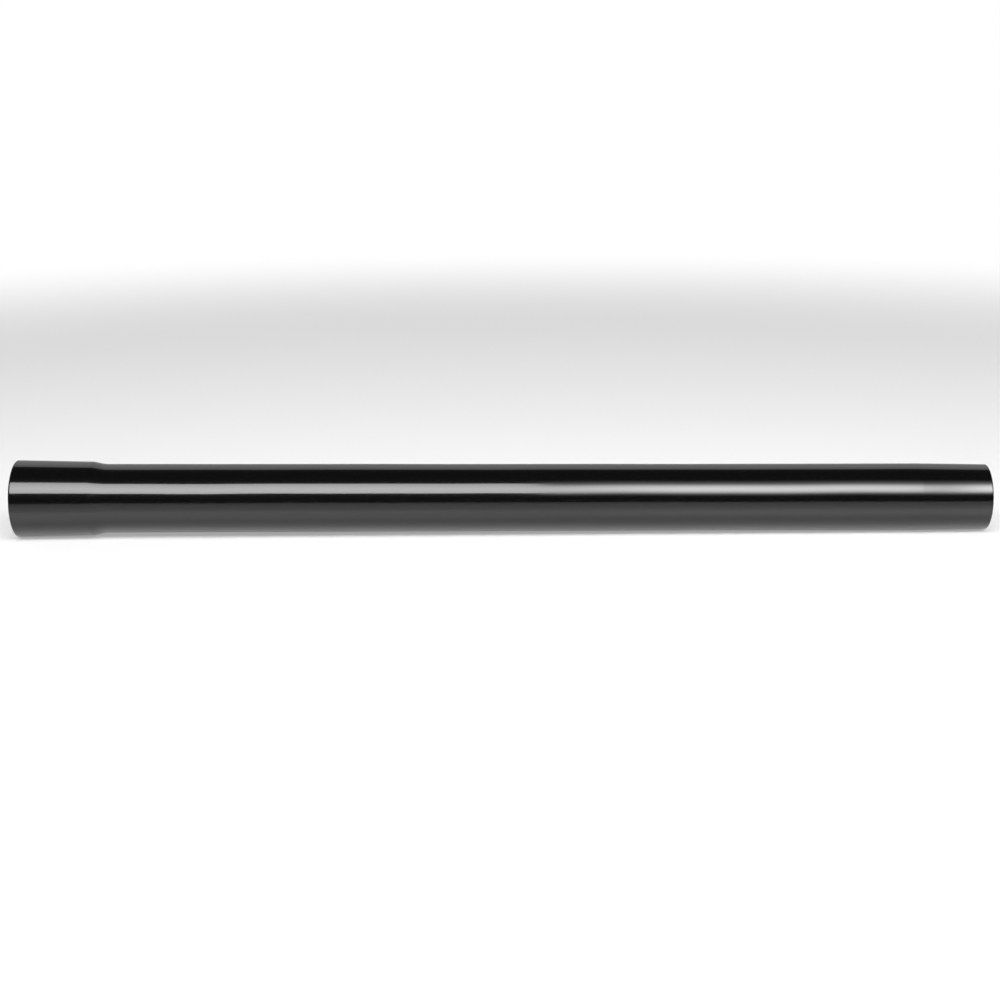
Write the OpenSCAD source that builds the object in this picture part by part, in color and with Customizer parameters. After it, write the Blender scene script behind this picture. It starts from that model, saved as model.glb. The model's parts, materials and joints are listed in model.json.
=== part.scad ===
// A straight suction tube in black moulded plastic. A flared socket at one end takes the next
// piece, and a tapered spigot at the other end pushes into one. The tube is one revolved wall.
// It lies along X, with the centre of the socket's mouth at the origin. Sizes are millimetres.

/* [Tube] */
// Overall length, from the socket's mouth to the spigot's tip
tube_length = 505; // [300:5:1000]
// Outer diameter of the body just past the shoulder
body_od = 36; // [35.4:0.1:37.4]
// Thickness of the body's wall
wall = 2; // [1.2:0.1:3]

/* [Socket] */
// Outer diameter at the socket's mouth
mouth_od = 40.1; // [38.6:0.1:46]
// Outer diameter of the socket where the shoulder starts
socket_base_od = 38.5; // [37.6:0.1:39.8]
// Length of the socket, from its mouth to the shoulder, and the depth of the seat inside it
socket_length = 40; // [25:1:80]
// Length of the parallel guide inside the socket, behind the lead-in
guide_length = 8; // [4:1:14]
// Depth of the lead-in at the mouth
lead_in_depth = 2; // [1:0.5:5]
// How far the lead-in opens on the radius
lead_in_rise = 0.5; // [0.2:0.1:0.8]

/* [Shoulder] */
// Length of the slope from the socket down to the body
shoulder_length = 5.8; // [4:0.2:20]
// Radius where the socket turns into the slope
shoulder_crest_radius = 4; // [1:0.5:10]
// Radius where the slope runs out into the body
shoulder_foot_radius = 20; // [5:1:40]

/* [Spigot] */
// Outer diameter of the parallel stretch behind the spigot's taper
spigot_od = 34.9; // [34.2:0.1:35.3]
// Length of the parallel stretch
land_length = 113; // [20:1:200]
// Outer diameter at the end of the taper
tip_od = 33.9; // [33:0.1:34.6]
// Length of the taper
taper_length = 36; // [10:1:60]

/* [Fit and edges] */
// Gap on the radius between a spigot and the socket it is pushed into
fit_gap = 0.1; // [0.05:0.05:0.3]
// Rounding of the outer edge at both ends
rim_radius = 1; // [0.3:0.1:1.2]
// Rounding of the inner edges
edge_radius = 0.3; // [0.1:0.1:0.4]

/* [Hidden] */

// Steps round the tube, and round a circle that an edge's arc is part of
TURN_STEPS = 180;
ARC_STEPS = 360;

// Largest share of a side that a rounding may take up, where a side is too short for its radius
SIDE_SHARE = 0.45;

// How far the shape of a rounding reaches past the sides of its corner, and its arc past them,
// so that outlines cross and never run along each other
SIDE_OVERLAP = 0.5;
ARC_OVERLAP = 0.0002;

// Height along the tube at which each stretch starts, with the mouth at 0
guide_start = lead_in_depth;
guide_end = guide_start + guide_length;
shoulder_end = socket_length + shoulder_length;
taper_start = tube_length - taper_length;
land_start = taper_start - land_length;

// Radii inside the socket follow those of the spigot that it takes, and the bore follows the body
guide_r = spigot_od / 2 + fit_gap;
seat_base_r = tip_od / 2 + fit_gap;
bore_root_r = body_od / 2 - wall;
bore_tip_r = spigot_od / 2 - wall;

// Corners of the outside and of the inside, each as [radius, height] from the mouth to the tip
OUTSIDE = [
    [mouth_od / 2, 0],
    [socket_base_od / 2, socket_length],
    [body_od / 2, shoulder_end],
    [spigot_od / 2, land_start],
    [spigot_od / 2, taper_start],
    [tip_od / 2, tube_length],
];
INSIDE = [
    [guide_r + lead_in_rise, 0],
    [guide_r, guide_start],
    [guide_r, guide_end],
    [seat_base_r, socket_length],
    [bore_root_r, socket_length],
    [bore_tip_r, land_start],
    [bore_tip_r, tube_length],
];

// Names for the corners that are rounded
MOUTH = 0;
CREST = 1;
FOOT = 2;
SEAT_END = 3;
BORE_START = 4;
TIP = len(OUTSIDE) - 1;
BORE_TIP = len(INSIDE) - 1;

// A direction of length 1
function unit(v) = v / norm(v);

// Half the angle of the corner at b between the sides to a and to c
function half_angle(a, b, c) = acos(unit(a - b) * unit(c - b)) / 2;

// The radius asked for, or less where the shorter side has no room for it
function fitting_radius(a, b, c, radius) =
    min(radius, SIDE_SHARE * min(norm(a - b), norm(c - b)) * tan(half_angle(a, b, c)));

// The sliver between the corner at b and an arc that touches the sides to a and to c
module corner_sliver(a, b, c, radius) {
    half = half_angle(a, b, c);
    r = fitting_radius(a, b, c, radius);
    centre = unit(unit(a - b) + unit(c - b)) * r / sin(half);
    touch_a = unit(a - b) * r / tan(half);
    touch_c = unit(c - b) * r / tan(half);
    grow = 1 + SIDE_OVERLAP / r;
    translate(b)
    difference() {
        polygon([for (p = [[0, 0], touch_a, centre, touch_c]) centre + (p - centre) * grow]);
        translate(centre) circle(r = r + ARC_OVERLAP, $fn = ARC_STEPS);
    }
}

// Everything within the outside, down to the tube's axis
module filled_outline() {
    difference() {
        union() {
            polygon(concat([[0, 0]], OUTSIDE, [[0, tube_length]]));
            corner_sliver(OUTSIDE[CREST], OUTSIDE[FOOT], OUTSIDE[FOOT + 1], shoulder_foot_radius);
        }
        corner_sliver(INSIDE[MOUTH], OUTSIDE[MOUTH], OUTSIDE[CREST], rim_radius);
        corner_sliver(OUTSIDE[MOUTH], OUTSIDE[CREST], OUTSIDE[FOOT], shoulder_crest_radius);
        corner_sliver(OUTSIDE[TIP - 1], OUTSIDE[TIP], INSIDE[BORE_TIP], rim_radius);
    }
}

// The space inside: the socket's seat, its stop ledge and the bore behind it
module hollow_outline() {
    difference() {
        union() {
            polygon(concat([[0, 0]], INSIDE, [[0, tube_length]]));
            corner_sliver(OUTSIDE[MOUTH], INSIDE[MOUTH], INSIDE[MOUTH + 1], edge_radius);
            corner_sliver(INSIDE[SEAT_END], INSIDE[BORE_START], INSIDE[BORE_START + 1], edge_radius);
            corner_sliver(INSIDE[BORE_TIP - 1], INSIDE[BORE_TIP], OUTSIDE[TIP], edge_radius);
        }
        corner_sliver(INSIDE[SEAT_END - 1], INSIDE[SEAT_END], INSIDE[BORE_START], edge_radius);
    }
}

module suction_tube() {
    color("#17181a")
    rotate([0, 90, 0])
    rotate_extrude($fn = TURN_STEPS)
    difference() {
        filled_outline();
        hollow_outline();
    }
}

suction_tube();
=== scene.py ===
"""The look of the suction tube: a finely turned wall in glossy black plastic, lying on a pale floor
in front of a large soft light, seen from the photograph's viewing angle."""

import json
import math

import bpy
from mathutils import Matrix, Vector


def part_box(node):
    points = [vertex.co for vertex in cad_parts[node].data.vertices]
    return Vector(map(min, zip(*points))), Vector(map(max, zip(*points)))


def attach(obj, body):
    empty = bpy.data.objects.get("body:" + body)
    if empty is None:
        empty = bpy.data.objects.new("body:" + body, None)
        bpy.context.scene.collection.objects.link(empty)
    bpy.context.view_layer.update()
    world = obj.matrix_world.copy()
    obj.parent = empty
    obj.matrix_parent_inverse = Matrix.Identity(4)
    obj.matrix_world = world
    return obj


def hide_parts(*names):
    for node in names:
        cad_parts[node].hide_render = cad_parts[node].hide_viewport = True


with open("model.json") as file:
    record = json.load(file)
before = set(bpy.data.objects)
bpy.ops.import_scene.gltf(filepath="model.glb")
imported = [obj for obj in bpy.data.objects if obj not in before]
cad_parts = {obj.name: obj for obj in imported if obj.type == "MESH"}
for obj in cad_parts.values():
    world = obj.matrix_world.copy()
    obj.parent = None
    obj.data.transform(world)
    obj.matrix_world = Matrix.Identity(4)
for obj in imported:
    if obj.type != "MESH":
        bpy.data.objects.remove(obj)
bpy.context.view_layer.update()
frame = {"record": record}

MM = 0.001

# Sizes that the frame gives
NODE = "suction_tube"
MOUNTS = {mount["name"]: mount for mount in frame["record"]["mounts"]}
TUBE_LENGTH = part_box(NODE)[1].x
GUIDE_RADIUS = MOUNTS["socket"]["dims"]["r_mm"] * MM
GUIDE_LENGTH = MOUNTS["socket"]["dims"]["length_mm"] * MM
SPIGOT_RADIUS = MOUNTS["spigot"]["dims"]["r_mm"] * MM
LAND_LENGTH = MOUNTS["spigot"]["dims"]["length_mm"] * MM
TAPER_START = MOUNTS["spigot"]["pos_m"][0]
LAND_START = TAPER_START - LAND_LENGTH

# Sizes of the wall that the frame doesn't name
MOUTH_RADIUS = 20.05 * MM
SOCKET_BASE_RADIUS = 19.25 * MM
SOCKET_LENGTH = 40 * MM
SHOULDER_LENGTH = 5.8 * MM
BODY_RADIUS = 18 * MM
TIP_RADIUS = 16.95 * MM
WALL = 2 * MM
LEAD_IN_DEPTH = 2 * MM
LEAD_IN_RISE = 0.5 * MM
SEAT_BASE_RADIUS = TIP_RADIUS + 0.1 * MM
RIM_ROUNDING = 1 * MM
EDGE_ROUNDING = 0.3 * MM
CREST_ROUNDING = 4 * MM
FOOT_ROUNDING = 20 * MM

# How finely the wall is turned
STEPS_AROUND = 192
ARC_STEPS = 8
FINEST_STEP = 0.12 * MM
COARSEST_STEP = 4 * MM
STEP_GROWTH = 1.7

# Each slow unevenness of the moulding: height, length along the tube, waves around, and phase
UNEVENNESS = [
    (0.030 * MM, 143 * MM, 2, 0.4),
    (0.018 * MM, 97 * MM, 3, 2.1),
    (0.010 * MM, 61 * MM, 5, 4.0),
]
UNEVEN_FADE = 12 * MM

# The camera: focal length and image in pixels, and where it stands by the tube's axis
IMAGE_PX = 1000
FOCAL_PX = 1750
CAMERA_DISTANCE = 0.914
CAMERA_ELEVATION = math.radians(14)
CAMERA_X = 0.2517
AXIS_ABOVE_CENTRE_PX = 2.4
CAMERA_ROLL = math.radians(0.115)

# The two soft lights in front and above, as angles above the front horizon seen from the tube,
# and places along the tube's axis
LIGHT_DISTANCE = 1.2
LIGHT_ELEVATION = 45.5
LEFT_LIGHT_SPREAD = 33.5
LEFT_LIGHT_END = -0.42
RIGHT_LIGHT_SPREAD = 56
RIGHT_LIGHT_END = 1.0
LIGHT_JOIN = 0.305

# Radiance of each light by its angle above the front horizon, and along the tube's axis
LEFT_BY_ANGLE = [(28, 8.0), (34, 8.3), (42, 9.2), (52, 8.0), (62, 6.0)]
RIGHT_BY_ANGLE = [
    (18, 0.0), (24, 1.0), (28, 4.5), (34, 10.0), (41, 13.0), (48, 11.3), (55, 6.2), (59, 2.6),
    (66, 0.7), (74, 0.0),
]
RIGHT_BY_PLACE = [(0.30, 0.68), (0.48, 1.0), (0.74, 0.96), (0.82, 0.62), (0.87, 1.2)]

# The dark studio round the set, and its pale back wall by the angle above the front horizon
ROOM_RADIUS = 2.6
ROOM_BY_ANGLE = [(0, 0.03), (60, 0.03), (100, 0.03), (123.5, 0.04), (126, 0.75), (140, 0.7), (160, 0.4)]
AMBIENT = 0.3

# The floor
FLOOR_COLOUR = 0.6
FLOOR_GLOW = 0.35
FLOOR_IOR = 1.5
FLOOR_GLOSS_ROUGHNESS = 0.2
FLOOR_FRONT = -0.57
FLOOR_BACK = 1.6
FLOOR_SIDE = 1.7


def touching_arc(before, at, after, radius):
    """The points of the arc that rounds the corner at `at`, or the corner itself if radius is 0."""
    if radius == 0:
        return [at]
    to_before = (before - at).normalized()
    to_after = (after - at).normalized()
    half = to_before.angle(to_after) / 2
    reach = min(radius / math.tan(half), 0.45 * min((before - at).length, (after - at).length))
    radius = reach * math.tan(half)
    centre = at + (to_before + to_after).normalized() * radius / math.sin(half)
    first = at + to_before * reach - centre
    last = at + to_after * reach - centre
    turn = first.angle_signed(last)
    points = []
    for step in range(ARC_STEPS + 1):
        angle = -turn * step / ARC_STEPS
        cos, sin = math.cos(angle), math.sin(angle)
        points.append(centre + Vector((first.x * cos - first.y * sin, first.x * sin + first.y * cos)))
    return points


def graded_shares(length):
    """Places along a side, as shares of it, that lie closer together near both of its ends."""
    distances = [0.0]
    step = FINEST_STEP
    while distances[-1] < length / 2:
        distances.append(distances[-1] + step)
        step = min(step * STEP_GROWTH, COARSEST_STEP)
    half = [0.5 * d / distances[-1] for d in distances]
    return half[1:] + [1 - share for share in reversed(half[1:-1])]


def turned_outline(corners):
    """The closed outline of the wall, as points of place along the axis and radius."""
    count = len(corners)
    arcs = []
    for i, (x, radius, rounding) in enumerate(corners):
        before = Vector(corners[i - 1][:2])
        after = Vector(corners[(i + 1) % count][:2])
        arcs.append(touching_arc(before, Vector((x, radius)), after, rounding))
    points = []
    for arc, next_arc in zip(arcs, arcs[1:] + arcs[:1]):
        points += arc
        side = next_arc[0] - arc[-1]
        points += [arc[-1] + side * share for share in graded_shares(side.length)]
    return points


def unevenness(x, angle):
    """How far the outside stands off its true radius, fading out towards both ends."""
    fade = min(1, x / UNEVEN_FADE, (TUBE_LENGTH - x) / UNEVEN_FADE)
    waves = 0
    for height, length, around, phase in UNEVENNESS:
        waves += height * math.sin(2 * math.pi * x / length + phase) * math.cos(around * angle + phase)
    return max(fade, 0) * waves


def lathe(name, outline, outer_count):
    """A mesh of the outline turned round X. The first outer_count points are the outside."""
    vertices = []
    for i, (x, radius) in enumerate(outline):
        for j in range(STEPS_AROUND):
            angle = 2 * math.pi * j / STEPS_AROUND
            r = radius + (unevenness(x, angle) if i < outer_count else 0)
            vertices.append((x, -r * math.sin(angle), -r * math.cos(angle)))
    rows = len(outline)
    faces = []
    for i in range(rows):
        for j in range(STEPS_AROUND):
            a = i * STEPS_AROUND
            b = (i + 1) % rows * STEPS_AROUND
            k = (j + 1) % STEPS_AROUND
            faces.append((a + j, a + k, b + k, b + j))
    mesh = bpy.data.meshes.new(name)
    mesh.from_pydata(vertices, [], faces)
    mesh.polygons.foreach_set("use_smooth", [True] * len(faces))
    along = [0.0]
    for p, q in zip(outline, outline[1:] + outline[:1]):
        along.append(along[-1] + (q - p).length)
    turn = 2 * math.pi * BODY_RADIUS
    layer = mesh.uv_layers.new(name="surface")
    places = []
    for i in range(rows):
        for j in range(STEPS_AROUND):
            low, high = turn * j / STEPS_AROUND, turn * (j + 1) / STEPS_AROUND
            places += [along[i], low, along[i], high, along[i + 1], high, along[i + 1], low]
    layer.uv.foreach_set("vector", places)
    mesh.update()
    tube = bpy.data.objects.new(name, mesh)
    bpy.context.scene.collection.objects.link(tube)
    return tube


def make_tube():
    """The tube's wall, with its socket's seat and stop ledge inside."""
    outside = [
        (0, MOUTH_RADIUS, RIM_ROUNDING),
        (SOCKET_LENGTH, SOCKET_BASE_RADIUS, CREST_ROUNDING),
        (SOCKET_LENGTH + SHOULDER_LENGTH, BODY_RADIUS, FOOT_ROUNDING),
        (LAND_START, SPIGOT_RADIUS, 0),
        (TAPER_START, SPIGOT_RADIUS, 0),
        (TUBE_LENGTH, TIP_RADIUS, RIM_ROUNDING),
    ]
    bore_tip = SPIGOT_RADIUS - WALL
    inside = [
        (TUBE_LENGTH, bore_tip, EDGE_ROUNDING),
        (LAND_START, bore_tip, 0),
        (SOCKET_LENGTH, BODY_RADIUS - WALL, EDGE_ROUNDING),
        (SOCKET_LENGTH, SEAT_BASE_RADIUS, EDGE_ROUNDING),
        (LEAD_IN_DEPTH + GUIDE_LENGTH, GUIDE_RADIUS, 0),
        (LEAD_IN_DEPTH, GUIDE_RADIUS, 0),
        (0, GUIDE_RADIUS + LEAD_IN_RISE, EDGE_ROUNDING),
    ]
    outline = turned_outline(outside + inside)
    farthest = max(range(len(outline)), key=lambda i: outline[i].x)
    return lathe("tube_wall", outline, farthest)


class Nodes:
    """Short names for the making and linking of shader nodes."""

    def __init__(self, tree):
        self.tree = tree
        tree.nodes.clear()

    def add(self, kind, inputs=None, **settings):
        node = self.tree.nodes.new(kind)
        for key, value in settings.items():
            setattr(node, key, value)
        for key, value in (inputs or {}).items():
            self.feed(node.inputs[key], value)
        return node

    def feed(self, socket, value):
        if isinstance(value, bpy.types.NodeSocket):
            self.tree.links.new(value, socket)
        else:
            socket.default_value = value

    def math(self, operation, first, second=0.0, third=0.0):
        node = self.add("ShaderNodeMath", operation=operation)
        for socket, value in zip(node.inputs, (first, second, third)):
            self.feed(socket, value)
        return node.outputs[0]

    def ramp(self, factor, stops, interpolation="LINEAR"):
        node = self.add("ShaderNodeValToRGB", {"Fac": factor})
        elements = node.color_ramp.elements
        node.color_ramp.interpolation = interpolation
        while len(elements) < len(stops):
            elements.new(0.5)
        for element, (place, value) in zip(elements, stops):
            element.position = place
            element.color = (value, value, value, 1)
        return node.outputs[0]

    def by_place(self, value, stops, interpolation="LINEAR"):
        """A smooth value read off stops of place and value, which may be of any size."""
        places = [place for place, _ in stops]
        most = max(level for _, level in stops)
        share = self.add(
            "ShaderNodeMapRange",
            {"Value": value, "From Min": places[0], "From Max": places[-1]},
        ).outputs[0]
        span = places[-1] - places[0]
        scaled = [((place - places[0]) / span, level / most) for place, level in stops]
        return self.math("MULTIPLY", self.ramp(share, scaled, interpolation), most)

    def front_angle(self, vector):
        """The angle above the front horizon, in degrees, at which a place is seen from the axis."""
        place = self.add("ShaderNodeSeparateXYZ", {0: vector})
        front = self.math("MULTIPLY", place.outputs["Y"], -1.0)
        return self.math("DEGREES", self.math("ARCTAN2", place.outputs["Z"], front))

    def noise(self, vector, scale, detail=2.0, roughness=0.5):
        inputs = {"Vector": vector, "Scale": scale, "Detail": detail, "Roughness": roughness}
        return self.add("ShaderNodeTexNoise", inputs).outputs[0]

    def seen(self):
        """1 for rays from the camera and for those that gloss or glass sends on, or else 0."""
        path = self.add("ShaderNodeLightPath")
        shown = self.math("MAXIMUM", path.outputs["Is Camera Ray"], path.outputs["Is Glossy Ray"])
        return self.math("MAXIMUM", shown, path.outputs["Is Transmission Ray"])


def black_plastic():
    """Glossy black plastic as it leaves the mould, with fine grain in its colour and surface, and
    slowly varying roughness.
    """
    material = bpy.data.materials.new("black_plastic")
    material.use_nodes = True
    n = Nodes(material.node_tree)
    place = n.add("ShaderNodeTexCoord").outputs["Object"]
    speckle = n.noise(place, 1400, 2)
    cloud = n.noise(place, 14, 2)
    shade = n.math("MULTIPLY_ADD", speckle, 0.004, 0.0)
    colour = n.add("ShaderNodeCombineColor", {"Red": shade, "Green": shade, "Blue": shade})
    roughness = n.math("MULTIPLY_ADD", cloud, 0.05, 0.18)
    grain = n.noise(place, 900, 3)
    bump = n.add("ShaderNodeBump", {"Strength": 0.04, "Distance": 0.05 * MM, "Height": grain})
    shader = n.add(
        "ShaderNodeBsdfPrincipled",
        {
            "Base Color": colour.outputs[0],
            "Roughness": roughness,
            "IOR": 1.5,
            "Specular IOR Level": 0.1,
            "Coat Weight": 1.0,
            "Coat Roughness": 0.08,
            "Coat IOR": 1.52,
            "Normal": bump.outputs[0],
            "Coat Normal": bump.outputs[0],
        },
    )
    n.add("ShaderNodeOutputMaterial", {"Surface": shader.outputs[0]})
    return material


def pale_floor():
    """A pale, glossy floor that turns plain white away from the tube, and keeps the tube's shadow."""
    material = bpy.data.materials.new("pale_floor")
    material.use_nodes = True
    n = Nodes(material.node_tree)
    seen = n.seen()
    colour = (FLOOR_COLOUR, FLOOR_COLOUR, FLOOR_COLOUR, 1)
    matt = n.add("ShaderNodeBsdfDiffuse", {"Color": colour})
    glow = n.add("ShaderNodeEmission", {"Strength": n.math("MULTIPLY", seen, FLOOR_GLOW)})
    lit = n.add("ShaderNodeAddShader")
    n.feed(lit.inputs[0], matt.outputs[0])
    n.feed(lit.inputs[1], glow.outputs[0])
    gloss = n.add(
        "ShaderNodeBsdfGlossy", {"Color": (1, 1, 1, 1), "Roughness": FLOOR_GLOSS_ROUGHNESS}
    )
    mirrored = n.add("ShaderNodeFresnel", {"IOR": FLOOR_IOR}).outputs[0]
    path = n.add("ShaderNodeLightPath")
    shared = n.math("MULTIPLY", mirrored, n.math("SUBTRACT", 1.0, path.outputs["Is Camera Ray"]))
    coated = n.add("ShaderNodeMixShader", {"Fac": shared})
    n.feed(coated.inputs[1], lit.outputs[0])
    n.feed(coated.inputs[2], gloss.outputs[0])
    white = n.add("ShaderNodeEmission", {"Strength": seen})
    place = n.add("ShaderNodeTexCoord").outputs["Object"]
    apart = n.add("ShaderNodeVectorMath", {0: place}, operation="LENGTH").outputs["Value"]
    fade = n.add(
        "ShaderNodeMapRange",
        {"Value": apart, "From Min": 0.7, "From Max": 1.4},
        interpolation_type="SMOOTHSTEP",
    )
    mixed = n.add("ShaderNodeMixShader", {"Fac": fade.outputs[0]})
    n.feed(mixed.inputs[1], coated.outputs[0])
    n.feed(mixed.inputs[2], white.outputs[0])
    n.add("ShaderNodeOutputMaterial", {"Surface": mixed.outputs[0]})
    return material


def make_floor():
    """A floor just under the two places at which the lying tube touches it."""
    rim_x, rim_radius = RIM_ROUNDING, MOUTH_RADIUS
    slope = (rim_radius - SPIGOT_RADIUS) / (TAPER_START - rim_x)
    middle = TUBE_LENGTH / 2
    height = -rim_radius + slope * (middle - rim_x)
    corners = [
        (side, y, slope * side)
        for side, y in [
            (-FLOOR_SIDE, FLOOR_FRONT),
            (FLOOR_SIDE, FLOOR_FRONT),
            (FLOOR_SIDE, FLOOR_BACK),
            (-FLOOR_SIDE, FLOOR_BACK),
        ]
    ]
    mesh = bpy.data.meshes.new("floor")
    mesh.from_pydata(corners, [], [(0, 1, 2, 3)])
    floor = bpy.data.objects.new("floor", mesh)
    floor.location = (middle, 0, height)
    bpy.context.scene.collection.objects.link(floor)
    floor.data.materials.append(pale_floor())


def room_material():
    """The dark of the studio, and the pale wall behind the tube."""
    material = bpy.data.materials.new("studio_room")
    material.use_nodes = True
    n = Nodes(material.node_tree)
    angle = n.front_angle(n.add("ShaderNodeTexCoord").outputs["Object"])
    strength = n.by_place(angle, ROOM_BY_ANGLE)
    light = n.add("ShaderNodeEmission", {"Strength": strength})
    n.add("ShaderNodeOutputMaterial", {"Surface": light.outputs[0]})
    return material


def make_room():
    """The studio round the set, which the camera looks past at the white backdrop."""
    bpy.ops.mesh.primitive_uv_sphere_add(
        segments=48, ring_count=24, radius=ROOM_RADIUS, location=(TUBE_LENGTH / 2, 0, 0)
    )
    room = bpy.context.object
    room.name = "studio_room"
    room.data.materials.append(room_material())
    room.visible_camera = False


def soft_light(name, left, right, spread, by_angle, by_along):
    """A rectangular light in front and above, between two places along the tube's axis. Its
    radiance follows its angle seen from the tube, and its place along the axis."""
    data = bpy.data.lights.new(name, "AREA")
    data.shape = "RECTANGLE"
    data.size = right - left
    data.size_y = 2 * LIGHT_DISTANCE * math.tan(math.radians(spread / 2))
    data.energy = math.pi * data.size * data.size_y
    data.use_nodes = True
    n = Nodes(data.node_tree)
    place = n.add("ShaderNodeNewGeometry").outputs["Position"]
    strength = n.by_place(n.front_angle(place), by_angle)
    along = n.add("ShaderNodeSeparateXYZ", {0: place}).outputs["X"]
    strength = n.math("MULTIPLY", strength, n.by_place(along, by_along))
    shine = n.add("ShaderNodeEmission", {"Strength": strength})
    n.add("ShaderNodeOutputLight", {"Surface": shine.outputs[0]})
    light = bpy.data.objects.new(name, data)
    elevation = math.radians(LIGHT_ELEVATION)
    light.location = (
        (left + right) / 2,
        -LIGHT_DISTANCE * math.cos(elevation),
        LIGHT_DISTANCE * math.sin(elevation),
    )
    light.rotation_euler = (math.pi / 2 - elevation, 0, 0)
    light.visible_camera = False
    bpy.context.scene.collection.objects.link(light)
    return light


def make_world():
    """White where it is seen, with some soft light for the rest."""
    world = bpy.data.worlds.new("backdrop")
    world.use_nodes = True
    n = Nodes(world.node_tree)
    strength = n.add("ShaderNodeMapRange", {"Value": n.seen(), "To Min": AMBIENT, "To Max": 1.0})
    background = n.add(
        "ShaderNodeBackground", {"Color": (1, 1, 1, 1), "Strength": strength.outputs[0]}
    )
    n.add("ShaderNodeOutputWorld", {"Surface": background.outputs[0]})
    bpy.context.scene.world = world


def make_camera():
    """The camera, where it shows the tube as the photograph does."""
    data = bpy.data.cameras.new("camera")
    data.lens = data.sensor_width * FOCAL_PX / IMAGE_PX
    camera = bpy.data.objects.new("camera", data)
    back = Vector((0, -math.cos(CAMERA_ELEVATION), math.sin(CAMERA_ELEVATION)))
    up = Vector((0, math.sin(CAMERA_ELEVATION), math.cos(CAMERA_ELEVATION)))
    place = Vector((CAMERA_X, 0, 0)) + back * CAMERA_DISTANCE
    target = Vector((CAMERA_X, 0, 0)) - up * CAMERA_DISTANCE * AXIS_ABOVE_CENTRE_PX / FOCAL_PX
    camera.location = place
    camera.rotation_euler = (target - place).to_track_quat("-Z", "Y").to_euler()
    camera.rotation_euler.rotate_axis("Z", -CAMERA_ROLL)
    bpy.context.scene.collection.objects.link(camera)
    bpy.context.scene.camera = camera


make_camera()
tube = make_tube()
tube.data.materials.append(black_plastic())
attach(tube, "root")
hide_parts(NODE)
make_floor()
make_room()
soft_light("left_light", LEFT_LIGHT_END, LIGHT_JOIN, LEFT_LIGHT_SPREAD, LEFT_BY_ANGLE, [(0, 1), (1, 1)])
soft_light(
    "right_light", LIGHT_JOIN, RIGHT_LIGHT_END, RIGHT_LIGHT_SPREAD, RIGHT_BY_ANGLE, RIGHT_BY_PLACE
)
make_world()
bpy.context.scene.view_settings.view_transform = "Standard"
